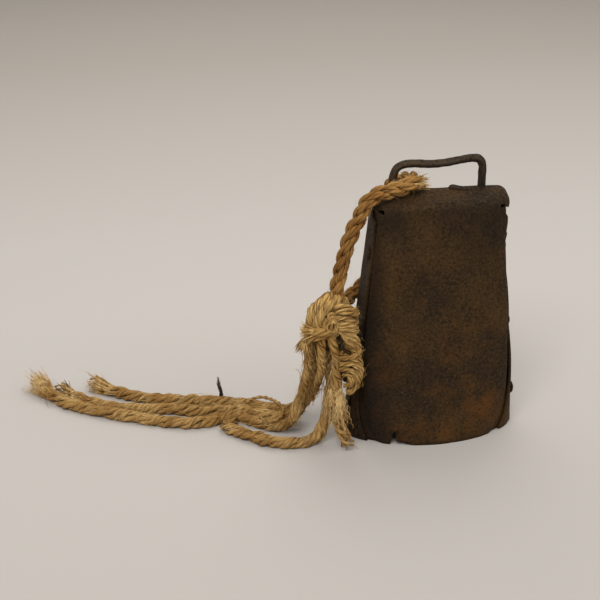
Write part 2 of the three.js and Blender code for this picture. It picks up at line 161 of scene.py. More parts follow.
def smooth_line(points, step):
    """An even run of points along the soft curve through the given ones, in millimetres."""
    given = [Vector(p) for p in points]
    given = [given[0] * 2 - given[1]] + given + [given[-1] * 2 - given[-2]]
    dense = []
    for a, b, c, d in zip(given, given[1:], given[2:], given[3:]):
        t1 = (b - a).length ** 0.5
        t2 = t1 + (c - b).length ** 0.5
        t3 = t2 + (d - c).length ** 0.5
        for i in range(24):
            t = t1 + (t2 - t1) * i / 24
            a1 = a * ((t1 - t) / t1) + b * (t / t1)
            a2 = b * ((t2 - t) / (t2 - t1)) + c * ((t - t1) / (t2 - t1))
            a3 = c * ((t3 - t) / (t3 - t2)) + d * ((t - t2) / (t3 - t2))
            b1 = a1 * ((t2 - t) / t2) + a2 * (t / t2)
            b2 = a2 * ((t3 - t) / (t3 - t1)) + a3 * ((t - t1) / (t3 - t1))
            dense.append(b1 * ((t2 - t) / (t2 - t1)) + b2 * ((t - t1) / (t2 - t1)))
    dense.append(given[-2].copy())
    lengths = [0.0]
    for a, b in zip(dense, dense[1:]):
        lengths.append(lengths[-1] + (b - a).length)
    count = max(4, round(lengths[-1] / step))
    even, k = [], 0
    for i in range(count + 1):
        want = lengths[-1] * i / count
        while k < len(dense) - 2 and lengths[k + 1] < want:
            k += 1
        span = lengths[k + 1] - lengths[k]
        even.append(dense[k].lerp(dense[k + 1], (want - lengths[k]) / span if span else 0))
    return even


def carried_frames(line):
    """A tangent and two side directions at each point, carried along without twist."""
    tangents = []
    for i in range(len(line)):
        tangents.append((line[min(i + 1, len(line) - 1)] - line[max(i - 1, 0)]).normalized())
    side = tangents[0].orthogonal().normalized()
    frames = []
    for i, tangent in enumerate(tangents):
        if i:
            side = tangents[i - 1].rotation_difference(tangent) @ side
        side = (side - tangent * side.dot(tangent)).normalized()
        frames.append((tangent, side, tangent.cross(side)))
    return frames


def turned_about(line, radius, pitch, start, wander=0.0, seed=0):
    """The path of one strand that winds round a line at a radius, which may be a function of the share."""
    wound, run = [], 0.0
    for i, (point, (tangent, side, other)) in enumerate(zip(line, carried_frames(line))):
        share = i / (len(line) - 1)
        if i:
            run += (point - line[i - 1]).length
        angle = start + 2 * math.pi * run / pitch
        out = radius(share) if callable(radius) else radius
        out *= 1 + wander * noise.noise(Vector((run / 7, seed * 3.1, 0.5)))
        angle += wander * 1.5 * noise.noise(Vector((seed * 5.3, run / 9, 0.2)))
        wound.append(point + (side * math.cos(angle) + other * math.sin(angle)) * out)
    return wound


def add_yarn(whole, line, radius, sides=8, twist=0.35, squared=0.0):
    """One yarn or bar drawn out ring by ring along its line, with its direction kept on its points."""
    bm = bmesh.new()
    fibre = bm.verts.layers.float_vector.new("fibre")
    frames = carried_frames(line)
    run, spin, last, ring_edges, key = 0.0, 0.0, None, None, random.random() * 9
    for i, (point, (tangent, side, other)) in enumerate(zip(line, frames)):
        share = i / (len(line) - 1)
        if i:
            step = (point - line[i - 1]).length
            run += step
            spin += twist * step
        size = radius(share) if callable(radius) else radius
        a = side * math.cos(spin) + other * math.sin(spin)
        b = other * math.cos(spin) - side * math.sin(spin)
        here = Matrix((
            (a.x * size, b.x * size, tangent.x, point.x),
            (a.y * size, b.y * size, tangent.y, point.y),
            (a.z * size, b.z * size, tangent.z, point.z),
            (0, 0, 0, 1)))
        if last is None:
            made = bmesh.ops.create_circle(bm, segments=sides, radius=1, cap_ends=True)
            verts = made["verts"]
            for v in verts:
                v.co *= 1 - squared * math.cos(4 * math.atan2(v.co.y, v.co.x))
                v[fibre] = Vector((v.co.x * size + key, v.co.y * size, key)) * MM
            bmesh.ops.transform(bm, matrix=here, verts=verts)
            ring_edges = list({e for v in verts for e in v.link_edges})
        else:
            made = bmesh.ops.extrude_edge_only(bm, edges=ring_edges)["geom"]
            verts = [g for g in made if isinstance(g, bmesh.types.BMVert)]
            ring_edges = [g for g in made if isinstance(g, bmesh.types.BMEdge)]
            bmesh.ops.transform(bm, matrix=here @ last.inverted(), verts=verts)
            for v in verts:
                v[fibre] = Vector((v[fibre].x, v[fibre].y, (run + key) * MM))
        last = here
    bmesh.ops.edgeloop_fill(bm, edges=ring_edges)
    bmesh.ops.recalc_face_normals(bm, faces=bm.faces)
    bmesh.ops.scale(bm, vec=(MM, MM, MM), verts=bm.verts)
    carrier = bpy.data.meshes.new("carrier")
    bm.to_mesh(carrier)
    bm.free()
    whole.from_mesh(carrier)
    bpy.data.meshes.remove(carrier)


def finished(name, bm, material, body="bell", smooth=True):
    """A mesh object from a finished bmesh, in its material, riding on its body."""
    mesh = bpy.data.meshes.new(name)
    bm.to_mesh(mesh)
    bm.free()
    for face in mesh.polygons:
        face.use_smooth = smooth
    mesh.materials.append(material)
    piece = bpy.data.objects.new(name, mesh)
    bpy.context.scene.collection.objects.link(piece)
    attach(piece, body)
    return piece


def new_strands():
    """An empty bmesh that yarns can be gathered in."""
    bm = bmesh.new()
    bm.verts.layers.float_vector.new("fibre")
    return bm


def hairs(name, tufts, material):
    """Many fine fibres, each a tapering wire given as (points in mm, radius in mm)."""
    curve = bpy.data.curves.new(name, "CURVE")
    curve.dimensions = "3D"
    curve.bevel_depth = 1.0
    curve.bevel_resolution = 0
    curve.use_fill_caps = True
    for points, radius in tufts:
        spline = curve.splines.new("POLY")
        spline.points.add(len(points) - 1)
        for i, (spot, point) in enumerate(zip(spline.points, points)):
            spot.co = (*(Vector(point) * MM), 1)
            spot.radius = radius * MM * (1 - 0.75 * i / (len(points) - 1))
    drawn = bpy.data.objects.new(name, curve)
    bpy.context.scene.collection.objects.link(drawn)
    bpy.context.view_layer.update()
    mesh = bpy.data.meshes.new_from_object(drawn.evaluated_get(bpy.context.evaluated_depsgraph_get()))
    bpy.data.objects.remove(drawn)
    bpy.data.curves.remove(curve)
    mesh.name = name
    mesh.materials.clear()
    mesh.materials.append(material)
    along = mesh.attributes.new("fibre", "FLOAT_VECTOR", "POINT")
    for i, v in enumerate(mesh.vertices):
        along.data[i].vector = v.co
    piece = bpy.data.objects.new(name, mesh)
    bpy.context.scene.collection.objects.link(piece)
    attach(piece, "bell")
    return piece


def fuzz(line, radius, count, longest, lift=0.55, floor=0.15):
    """Fibres that stand off a strand: root on its surface, lying mostly along it."""
    frames, tufts = carried_frames(line), []
    for _ in range(count):
        k = random.randrange(1, len(line) - 1)
        tangent, side, other = frames[k]
        angle = random.random() * 2 * math.pi
        out = side * math.cos(angle) + other * math.sin(angle)
        if line[k].z < 8 and out.z < -0.3:
            out.z = abs(out.z)
        way = tangent * random.choice((-1, 1)) * random.uniform(0.6, 1.3) + out * random.uniform(0.15, lift)
        curl = side.cross(out) * random.uniform(-0.25, 0.25) + Vector((0, 0, -0.12))
        length = longest * random.uniform(0.35, 1.0) ** 1.5
        point, points = line[k] + out * radius * 0.92, []
        for i in range(5):
            points.append((point.x, point.y, max(point.z, floor)))
            point = point + way.normalized() * length / 4
            way = way + curl
        tufts.append((points, random.uniform(0.05, 0.1)))
    return tufts


def brush(line, radius, count, length, spread, lift=0.0, crimp=0.0, floor=0.6):
    """The frayed end of a strand: its fibres fanned out past its last point, crimped where they were laid."""
    tangent, side, other = carried_frames(line)[-1]
    tufts = []
    for _ in range(count):
        angle, off = random.random() * 2 * math.pi, radius * random.random() ** 0.5
        out = side * math.cos(angle) + other * math.sin(angle)
        point = line[-1] - tangent * 5 + out * off
        way = (tangent + out * spread * (0.3 + off / radius) * random.uniform(0.3, 1.2)).normalized()
        bend = Vector([random.uniform(-0.03, 0.03) for _ in range(3)]) + Vector((0, 0, lift))
        across, key = way.cross(Vector((0.2, 1, 0.1))).normalized(), random.random() * 1.2
        run, points = length * random.uniform(0.5, 1.0) + 5, []
        steps = 22 if crimp else 8
        for i in range(steps + 1):
            wave = across * crimp * math.sin(key + 2 * math.pi * run * i / steps / (4 + key))
            points.append((point.x + wave.x, point.y + wave.y, max(point.z + wave.z, floor)))
            point = point + way * run / steps
            way = (way + bend * 8 / steps).normalized()
        tufts.append((points, random.uniform(0.14, 0.6)))
    return tufts


# ---------------------------------------------------------------------------
# Rope loop: 9.5 mm three-strand sisal, led over the crown's front corner, in
# front of the bail's left leg, round behind it and down the back to its knot.
# ---------------------------------------------------------------------------
random.seed(4)
LOOP_ROUTE = [
    (-63.6, -14, 98.6), (-62.6, -13.6, 104), (-60.6, -12.8, 113), (-58.4, -12, 122),
    (-55.8, -11.4, 131), (-52.6, -11, 140), (-48.4, -11, 148.6), (-44.8, -11.8, 157),
    (-38.2, -11.8, 161.8), (-31.4, -10.4, 163), (-24.6, -8.4, 163.8), (-18.4, -6.6, 165),
    (-13.8, -2.4, 165.8), (-14.6, 3.6, 165), (-17, 9.4, 163), (-19.6, 14.8, 160.8),
    (-21.8, 19.8, 157.4), (-24, 23, 151), (-26, 24, 141), (-27.6, 25, 128),
    (-28.8, 26, 114), (-31.6, 27.6, 102), (-36.2, 28.2, 90.6), (-42.6, 25.6, 85.6),
    (-48.9, 19.8, 83.4), (-54.4, 12.2, 82.6), (-59, 4.8, 82.6), (-61.6, -1.4, 82.2),
]
ROPE_D = 9.5
loop_line = smooth_line(LOOP_ROUTE, 0.9)
rope = new_strands()
for lay in range(3):
    start = lay * 2 * math.pi / 3
    wound = turned_about(loop_line, 2.42, 27, start, 0.08, lay)
    for yarn in range(3):
        part = turned_about(wound, 1.2, -34, yarn * 2 * math.pi / 3, 0.16, lay * 3 + yarn)
        add_yarn(rope, part, 1.3, 7, -0.4)
rope = finished("rope_loop_laid", rope, ROPE_SISAL)
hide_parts("rope_loop")

# ---------------------------------------------------------------------------
# Strands: below the knot the rope is unlaid into 5.6 mm strands of four yarns.
# Three run away over the ground, one doubles back, one hangs short and frayed.
# ---------------------------------------------------------------------------
STRAND_D = 5.6
STRAND_ROUTES = {
    "strand_short": [
        (-63.2, -22, 63.2), (-63.8, -22.4, 56), (-64.2, -22.8, 46), (-64.2, -23.2, 36),
        (-63.4, -23.4, 26), (-61.2, -23.4, 17), (-58.6, -23.2, 9), (-56.6, -22.8, 3.2)],
    "strand_low": [
        (-80.2, -19, 63.2), (-81, -17.6, 54), (-82, -14.4, 44), (-83.6, -10, 33), (-85.2, -6, 22),
        (-88.4, -1.8, 12), (-93.6, 2.8, 5.4), (-101.8, 8.4, 3.2), (-111, 15.6, 3),
        (-120, 22.6, 3), (-129.4, 23.2, 3), (-138, 20.4, 3), (-147, 19.4, 3), (-158, 21.4, 3),
        (-171, 26.2, 3), (-187.2, 33.2, 3), (-198.4, 38.8, 3), (-209.8, 45, 3), (-220, 51, 3),
        (-229.4, 57.8, 3.2), (-238, 66.4, 3.8), (-245.4, 77, 5), (-251.6, 88.6, 7)],
    "strand_middle": [
        (-72.4, -21.2, 63.2), (-73, -19.6, 54), (-74.2, -15, 44), (-76.2, -8.6, 34),
        (-79.4, -1, 23.4), (-83.8, 6.6, 13), (-89.8, 13.6, 5.6), (-98.2, 20.2, 3.2),
        (-108, 26.6, 3), (-119, 31.2, 3), (-131, 32.2, 3), (-144, 34.2, 3), (-157, 38.2, 3),
        (-170, 41.4, 3), (-181, 43.2, 3), (-192, 45.6, 3), (-203, 50.4, 3), (-212.4, 56.2, 3),
        (-221, 62.4, 3.2), (-229, 69.6, 4), (-236.4, 78.4, 5.6)],
    "strand_upper": [
        (-74.8, -11.6, 63.2), (-74.2, -9.4, 54), (-73.8, -5, 45), (-74.4, 1.4, 35),
        (-77, 8.6, 24), (-81.2, 15.6, 13.6), (-87, 22, 6), (-95.6, 29, 3.2), (-107, 35.6, 3),
        (-120, 41, 3), (-133, 45, 3), (-147, 48.6, 3), (-161, 51.8, 3), (-175, 56.4, 3),
        (-187, 62, 3), (-197, 68.2, 3.2), (-206, 75.6, 4), (-214, 84, 5.6)],
    "strand_doubled": [
        (-66.6, -13.8, 63.2), (-66.2, -13, 52), (-66.2, -12.4, 40), (-66.8, -11.8, 28),
        (-68.6, -11.4, 16), (-72.6, -12, 7), (-79.2, -14, 3.2), (-87.4, -15.4, 3),
        (-96.2, -14, 3), (-105, -9.8, 3), (-113.4, -3.6, 3), (-120.6, 2.6, 3), (-127, 8.2, 3),
        (-129, 12.6, 3), (-126.6, 16.2, 3), (-121.4, 15.8, 3)],
}
FRAYED_ENDS = {
    "strand_short": (150, 24.0, 0.2, 0.42, 0.0, 0.5), "strand_low": (200, 24.0, 0.17, 0.93, 0.012, 0.0),
    "strand_middle": (60, 10.0, 0.2, 0.95, 0.01, 0.0), "strand_upper": (120, 17.0, 0.18, 0.94, 0.008, 0.0),
    "strand_doubled": (24, 4.0, 0.4, 0.98, 0.0, 0.0)}


def taper(share):
    """A yarn's radius: full along the strand, thinning as its end frays."""
    return (1.26 + 0.4 * min(1.0, share * 3)) * (1 - 0.62 * max(0.0, (share - 0.84) / 0.16))


def loosened(share):
    """How far a yarn stands from the middle of its strand: firm by the knot, slack over the ground."""
    return 1.55 + 0.95 * min(1.0, max(0.0, share - 0.15) * 3) + 0.9 * min(1.0, max(0.0, share - 0.86) / 0.14)


strands = {}
for index, (name, points) in enumerate(STRAND_ROUTES.items()):
    line = smooth_line(points, 0.9)
    bm = new_strands()
    for yarn in range(5):
        part = turned_about(line, loosened, -33, yarn * math.pi * 0.4 + index, 0.55, index * 5 + yarn)
        part = [Vector((p.x, p.y, max(p.z, 1.7))) for p in part]
        add_yarn(bm, part, taper, 8, -0.5)
    piece = finished(name + "_twisted", bm, TAIL_SISAL)
    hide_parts(name)
    strands[name] = (piece, line)

# ---------------------------------------------------------------------------
# Yarn curl: one loose yarn that has sprung out of the bundle and lies on it.
# ---------------------------------------------------------------------------
YARN_ROUTE = [
    (-113.4, 32.5, 7.4), (-109.6, 36.8, 7.4), (-105, 38.7, 7.4), (-100.4, 37.6, 7.4),
    (-96.4, 33.2, 7.8), (-93, 26.6, 8.6), (-91.6, 20.4, 9.2), (-92, 12.6, 9.9),
    (-94.4, 6.4, 10.1), (-98, 4.2, 9.2), (-102, 6, 7.8), (-107.2, 12.3, 7.6),
]
curl_line = smooth_line(YARN_ROUTE, 0.9)
bm = new_strands()
for yarn in range(2):
    add_yarn(bm, turned_about(curl_line, 0.6, 9, yarn * math.pi, 0.1, yarn), 0.66, 7, 0.5)
curl = finished("yarn_curl_twisted", bm, TAIL_SISAL)
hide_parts("yarn_curl")

# ---------------------------------------------------------------------------
# Knot: both ends of the rope are hitched round the standing part and pulled
# down tight; the slack yarns bulge out of it in loops along the bell's side.
# ---------------------------------------------------------------------------
KNOT_STRANDS = [
    [(-63, -13, 102), (-67.6, -18, 101.4), (-73.6, -20.6, 99), (-78, -21, 93.4), (-79.4, -20.6, 86.6),
     (-78, -18, 79), (-76, -15, 71)],
    [(-60.6, -13, 100), (-64.6, -20.4, 99.6), (-70.6, -23.4, 97), (-74.8, -24, 91.6), (-75.4, -23, 85.4),
     (-73, -21, 79)],
    [(-77, -16, 84), (-79.4, -18.6, 76.6), (-80.4, -19.2, 69.6), (-80.2, -19, 62)],
    [(-71.6, -19, 84), (-73, -21.8, 76), (-72.8, -21.8, 69), (-72.4, -21.2, 62)],
    [(-67.6, -19, 84), (-67, -22.8, 78), (-65.6, -23.4, 71), (-63.4, -22.2, 62)],
    [(-66, -10, 100), (-72, -8, 94), (-77, -9, 86), (-76.6, -11, 76), (-74.8, -11.6, 62)],
    [(-60, -8, 98), (-55, -9, 90), (-53, -11, 81), (-57, -13, 71), (-66, -13.6, 62)],
]
KNOT_STRANDS += [
    [(-60, -16, 97), (-57, -10, 95), (-61, -5.6, 94), (-68, -5, 93), (-74, -8, 92), (-78, -13, 91)],
    [(-58, -20, 90), (-52.8, -14, 88), (-55, -7, 86), (-62, -4.4, 85), (-70, -5, 84), (-77, -9, 82), (-79.6, -15, 80)],
    [(-56, -19, 80), (-52.8, -13, 79), (-56, -6.6, 77), (-63, -4.4, 76), (-70, -5, 75.6), (-76, -9, 74), (-78.6, -14, 72)],
    [(-57, -18, 71), (-54, -13, 70), (-57, -8, 69), (-64, -6, 68), (-71, -7, 67.6), (-76, -11, 68)],
]
STUB_STRANDS = [
    [(-64, -21, 82.6), (-70, -24.6, 82.6), (-77, -25, 83.6), (-83.4, -24.4, 84)],
    [(-68, -20, 79.4), (-74, -23.6, 80), (-79.6, -23.4, 79.4), (-83, -22.6, 76.4), (-84, -22, 72)],
]
bm = new_strands()
# A dark ellipsoid inside the knot, in the tarred fibre material: painted shade in the gaps between the yarns.
painted_shade_core = bmesh.ops.create_icosphere(bm, subdivisions=3, radius=1)["verts"]
bmesh.ops.scale(bm, vec=(12.6 * MM, 8.6 * MM, 17 * MM), verts=painted_shade_core)
bmesh.ops.translate(bm, vec=(-66 * MM, -13 * MM, 81 * MM), verts=painted_shade_core)
for v in painted_shade_core:
    v[bm.verts.layers.float_vector["fibre"]] = v.co
for face in bm.faces:
    face.material_index = 1
for index, points in enumerate(KNOT_STRANDS + STUB_STRANDS):
    line = smooth_line(points, 0.9)
    for yarn in range(5):
        part = turned_about(line, 1.7, -26, yarn * math.pi * 0.4 + index * 0.7, 0.3, 40 + index * 5 + yarn)
        add_yarn(bm, part, 1.22, 8, -0.5)
knot_lines = [smooth_line(points, 1.0) for points in KNOT_STRANDS + STUB_STRANDS]
for k in range(7):
    ring = []
    for step in range(13):
        a = math.radians(105 + 27 * step + 6 * k)
        ring.append((-67.6 + (2.3 + 0.6 * k) * math.cos(a), -25.8 + 0.5 * k - 0.12 * step,
                     86.4 + (3.2 + 0.9 * k) * math.sin(a)))
    ring.append((-66.4 + 0.3 * (k - 4), -24, 76))
    add_yarn(bm, turned_about(smooth_line(ring, 0.7), 0.25, 11, k, 0.4, 70 + k), 0.72, 7, -0.8)
for k in range(5):
    sway = 1.6 * noise.noise(Vector((k * 1.7, 0, 4)))
    line = smooth_line([
        (-66.4 + 0.5 * k, -22, 97.4 - 3.2 * k), (-61.4, -25.6 - sway, 98.8 - 3.5 * k + sway),
        (-55.8 + sway, -25 + 0.4 * sway, 97.4 - 3.6 * k), (-51.8 + 0.5 * sway, -21.4, 94 - 3.5 * k + sway),
        (-52, -16, 91 - 3.3 * k)], 0.8)
    for yarn in range(3):
        part = turned_about(line, 0.95, -19, yarn * 2.1 + k, 0.5, 80 + k * 3 + yarn)
        add_yarn(bm, part, 0.95, 7, -0.5)
    knot_lines.append(line)
for k in range(0, 4):
    line = smooth_line([
        (-64 + 1.6 * k, -23, 85.4 - 0.4 * k), (-60.4 + 2.1 * k, -26 + 0.5 * k, 80.6 - 0.3 * k),
        (-57.4 + 2.1 * k, -25.4 + 0.5 * k, 74.6), (-54.6 + 1.5 * k, -23, 69), (-52.6 + k, -20, 64.6)], 0.8)
    for yarn in range(3):
        part = turned_about(line, 0.85, -16, yarn * 2.1 + k, 0.35, 110 + k * 3 + yarn)
        add_yarn(bm, part, 0.86, 7, -0.5)
    knot_lines.append(line)
knot = finished("rope_knot_hitched", bm, STRAND_SISAL)
knot.data.materials.append(DARK_FIBRE_AND_SHADE)
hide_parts("rope_knot")

YARN_LOOPS = [
    [(-58, -23, 72), (-52.4, -24.6, 67), (-49.4, -24, 60.6), (-48.8, -23.4, 54), (-49.8, -23, 47.4),
     (-52.4, -23.4, 43)],
    [(-60, -25, 66), (-54.6, -26.6, 64.8), (-51, -25.8, 60), (-50, -24.6, 53), (-50.8, -24, 46.4),
     (-53.8, -24.4, 42.2), (-56.6, -24.6, 41), (-57, -24.4, 43.4)],
    [(-62.4, -25, 65.2), (-58, -27.2, 65.8), (-53, -26.8, 67), (-50, -24, 69.8)],
    [(-62, -25, 60.8), (-58, -27.2, 61.8), (-54, -26.8, 60.8), (-51.8, -25.6, 56), (-52.4, -25, 50),
     (-55.2, -25.4, 46.2)],
    [(-62, -24.6, 57), (-58.4, -26.8, 58.4), (-55, -26.8, 56.2), (-54, -26.2, 51.6), (-56, -25.8, 47),
     (-59.8, -24.6, 46)],
    [(-60, -23, 52.6), (-57, -25.4, 53.6), (-55.4, -26, 50), (-56.8, -25.2, 45.8)],
    [(-61.4, -23, 68), (-58, -22, 60), (-56, -21.6, 52), (-55, -22, 44.6)],
    [(-53, -21.6, 68), (-51.4, -21.4, 58), (-51.8, -21.2, 50), (-54, -22, 43.6)],
    [(-60.6, -20, 66), (-57, -17, 58), (-54, -16, 50), (-53.6, -18, 44)],
    [(-56, -16, 68), (-52.6, -16, 60), (-53, -16.6, 50), (-56, -19, 43)],
]
bm = new_strands()
# A dark ellipsoid among the slack loops, in the tarred fibre material: painted shade in the gaps between them.
painted_shade_core = bmesh.ops.create_icosphere(bm, subdivisions=3, radius=1)["verts"]
bmesh.ops.scale(bm, vec=(4.4 * MM, 3.2 * MM, 15 * MM), verts=painted_shade_core)
bmesh.ops.translate(bm, vec=(-57.6 * MM, -18.6 * MM, 60 * MM), verts=painted_shade_core)
for v in painted_shade_core:
    v[bm.verts.layers.float_vector["fibre"]] = v.co
for face in bm.faces:
    face.material_index = 1
for index, points in enumerate(YARN_LOOPS):
    line = smooth_line(points, 0.8)
    for yarn in range(3):
        part = turned_about(line, 0.85, -17, yarn * 2.1 + index, 0.35, 130 + index * 3 + yarn)
        add_yarn(bm, part, 0.84, 7, -0.5)
    knot_lines.append(line)
loops = finished("yarn_loops_slack", bm, STRAND_SISAL)
loops.data.materials.append(DARK_FIBRE_AND_SHADE)
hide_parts("yarn_loops")

# ---------------------------------------------------------------------------
# Fuzz and frayed ends: broken fibres stand off the rope everywhere, and the
# cut ends have opened into brushes. One dark tuft of tarred fibre sticks up.
# ---------------------------------------------------------------------------
knot_fuzz_tufts = []
for line in knot_lines:
    knot_fuzz_tufts += fuzz(line, 2.2, 30, 7)
for points in STUB_STRANDS:
    knot_fuzz_tufts += brush(smooth_line(points, 1.0), 2.6, 60, 3.5, 0.35)
tip = [(-24, -6, 164), (-18, -4.6, 165), (-12, -3.6, 165)]
bight_tufts = brush(smooth_line(tip, 1.0), 3.2, 44, 7, 0.2) + fuzz(smooth_line(tip, 1.0), 4, 60, 7)
rope_fuzz = hairs("rope_loop_fuzz", fuzz(loop_line, ROPE_D / 2, 520, 7) + bight_tufts, FIBRE_SISAL_HIGHLIGHTED)
knot_fuzz = hairs("rope_knot_fuzz", knot_fuzz_tufts, FIBRE_SISAL_HIGHLIGHTED)
for name, (piece, line) in strands.items():
    count, length, spread, root, lift, crimp = FRAYED_ENDS[name]
    tufts = fuzz(line, STRAND_D / 2 + 0.6, int(len(line) * 1.6), 9, 0.4)
    tufts += [(points, radius * 3.2) for points, radius in fuzz(line, STRAND_D / 2 + 0.5, len(line) // 2, 22, 0.2, 0.35)]
    tufts += brush(line[:int(len(line) * root)], STRAND_D / 2 + 0.6, count, length, spread, lift, crimp)
    extra = [hairs(name + "_fray", tufts, FIBRE_SISAL_HIGHLIGHTED)]
    if name == "strand_upper":
        stub = []
        for _ in range(14):
            foot = Vector((-130, 46, 4)) + Vector([random.uniform(-1, 1) for _ in range(3)])
            tip = foot + Vector((random.uniform(-1.8, 0.6), random.uniform(-0.5, 0.5), random.uniform(11, 18)))
            waist = foot.lerp(tip, 0.4) + Vector((1.3, 0, 0))
            neck = foot.lerp(tip, 0.75) + Vector((0.2, 0, 0))
            stub.append(([foot, waist, neck, tip], random.uniform(0.3, 0.62)))
        extra.append(hairs("tarred_tuft", stub, DARK_FIBRE_AND_SHADE))
    if name == "strand_middle":
        burnt = brush(line[:int(len(line) * 0.97)], 1.8, 22, 8, 0.5, 0.03)
        extra.append(hairs("tarred_end", burnt, DARK_FIBRE_AND_SHADE))

# ---------------------------------------------------------------------------
# Bell: one sheet of iron folded over at the crown, the front half's flanges
# tucked inside the back half's, brown with old rust and orange in patches.
# ---------------------------------------------------------------------------
def iron_group():
    """Rusted iron: its colour with painted glints on the pits, roughness and pitted height, with orange rust where the
    mask says.
    """
    tree, enter, leave = node_group("old_iron", [
        ("Dark", "NodeSocketColor", (0.05, 0.035, 0.024, 1)),
        ("Brown", "NodeSocketColor", (0.09, 0.055, 0.03, 1)),
        ("Rust", "NodeSocketColor", (0.2, 0.075, 0.02, 1)),
        ("Rust Mask", "NodeSocketFloat", 0.0),
        ("Grain", "NodeSocketFloat", 1.0)],
        [("Color", "NodeSocketColor"), ("Roughness", "NodeSocketFloat"), ("Height", "NodeSocketFloat")])
    place = add_node(tree, "ShaderNodeTexCoord").outputs["Object"]

    def grain(scale, detail, roughness=0.6):
        size = sum_of(tree, "MULTIPLY", enter.outputs["Grain"], scale)
        return add_node(tree, "ShaderNodeTexNoise", [
            ("Vector", place), ("Scale", size), ("Detail", detail), ("Roughness", roughness)]).outputs[0]

    broad, cloud, fine, pits_and_glints = grain(28, 4), grain(110, 5), grain(620, 3), grain(1500, 2)
    base = blended(tree, ranged(tree, broad, 0.4, 0.62), enter.outputs["Dark"], enter.outputs["Brown"])
    rusty = ranged(tree, sum_of(tree, "ADD", enter.outputs["Rust Mask"], sum_of(tree, "SUBTRACT", cloud, 0.5)), 0.25, 0.8)
    base = blended(tree, rusty, base, enter.outputs["Rust"])
    base = blended(tree, ranged(tree, fine, 0.52, 0.75, 0.0, 0.55), base, (0.085, 0.05, 0.021, 1))
    base = blended(tree, ranged(tree, fine, 0.48, 0.28, 0.0, 0.75), base, (0.006, 0.004, 0.003, 1))
    # Painted glints: pale dots where light would catch the pits.
    base = blended(tree, ranged(tree, pits_and_glints, 0.7, 0.78, 0.0, 0.5), base, (0.3, 0.25, 0.18, 1))
    tree.links.new(base, leave.inputs["Color"])
    tree.links.new(ranged(tree, fine, 0.3, 0.7, 0.88, 0.6), leave.inputs["Roughness"])
    height = sum_of(tree, "ADD", sum_of(tree, "MULTIPLY", fine, 0.6), sum_of(tree, "MULTIPLY", cloud, 0.8))
    tree.links.new(sum_of(tree, "ADD", height, sum_of(tree, "MULTIPLY", pits_and_glints, 0.25)), leave.inputs["Height"])
    return tree


IRON = iron_group()


def spread_mask(tree, patches):
    """The strongest of several soft patches, each given as (centre, half sizes, strength)."""
    place = add_node(tree, "ShaderNodeTexCoord").outputs["Object"]
    total = 0.0
    for centre, half, strength in patches:
        away = add_node(tree, "ShaderNodeVectorMath", [
            (0, place), (1, [c * MM for c in centre])], operation="SUBTRACT").outputs[0]
        away = add_node(tree, "ShaderNodeVectorMath", [
            (0, away), (1, [1 / (h * MM) for h in half])], operation="MULTIPLY").outputs[0]
        far = add_node(tree, "ShaderNodeVectorMath", [(0, away)], operation="LENGTH").outputs["Value"]
        total = sum_of(tree, "MAXIMUM", total, ranged(tree, far, 1.0, 0.15, 0.0, strength))
    return total


def iron(name, dark, brown, rust, patches=(), painted_shade=(), bump=0.5, metallic=0.2):
    """Old iron, orange where it has rusted again, and almost black where the painted shade patches lie."""
    made, tree, shader = new_material(name)
    group = add_node(tree, "ShaderNodeGroup", node_tree=IRON)
    for label, colour in (("Dark", dark), ("Brown", brown), ("Rust", rust)):
        group.inputs[label].default_value = colour
    colour = group.outputs["Color"]
    if patches:
        tree.links.new(spread_mask(tree, patches), group.inputs["Rust Mask"])
    # Painted shade: the given patches are blended towards almost black.
    if painted_shade:
        colour = blended(tree, spread_mask(tree, painted_shade), colour, (0.009, 0.0065, 0.005, 1))
    tree.links.new(colour, shader.inputs["Base Color"])
    tree.links.new(group.outputs["Roughness"], shader.inputs["Roughness"])
    relief = add_node(tree, "ShaderNodeBump", [
        ("Strength", bump), ("Distance", 0.0006), ("Height", group.outputs["Height"])])
    tree.links.new(relief.outputs[0], shader.inputs["Normal"])
    shader.inputs["Metallic"].default_value = metallic
    shader.inputs["Specular IOR Level"].default_value = 0.13
    return made


SHELL_IRON = iron(
    "rusted_sheet_iron", (0.028, 0.016, 0.007, 1), (0.057, 0.029, 0.0085, 1), (0.11, 0.04, 0.008, 1),
    [((-36, -20, 46), (12, 16, 60), 0.46), ((28, -20, 20), (40, 18, 36), 0.48),
     ((2, -22, 62), (44, 12, 70), 0.3), ((-10, -24, 10), (60, 12, 22), 0.4),
     ((30, 24, 40), (40, 12, 46), 0.52), ((-20, 22, 70), (30, 12, 60), 0.42)],
    # Painted shade: the recess along the front-left lap, the hollow under the crown's left corner, and the darker
    # upper right of the front.
    [((-42, -17, 100), (12, 10, 90), 0.72), ((-42, -20, 30), (22, 12, 62), 0.74), ((30, -18, 140), (40, 14, 34), 0.45),
     ((-34, -16, 146), (18, 12, 16), 0.6)], bump=0.9, metallic=0.12)

RIDGE_Z, EAVE_Z, PANEL_TOP = 160.0, 154.1, 150.0
SHEET, GAP = 1.7, 0.35
CROWN_W, CROWN_D, MOUTH_W, MOUTH_D = 37.5, 16.1, 55.0, 26.9
FLANGE, FACE, PANEL_ROWS, CROWN_ROWS = 26, 150, 76, 28


def outline(z):
    """Half width, half depth and squareness of the shell's outside at a height."""
    t = max(0.0, 1 - z / EAVE_Z)
    return (CROWN_W + (MOUTH_W - CROWN_W) * t, CROWN_D + (MOUTH_D - CROWN_D) * t ** 1.127,
            8.3 + (1.85 - 8.3) * t)


def outline_point(o, phi):
    """A point of the outside at a turning angle."""
    w, d, n = o
    c, s = math.cos(phi), math.sin(phi)
    return Vector((math.copysign(w * abs(c) ** (2 / n), c), math.copysign(d * abs(s) ** (2 / n), s)))


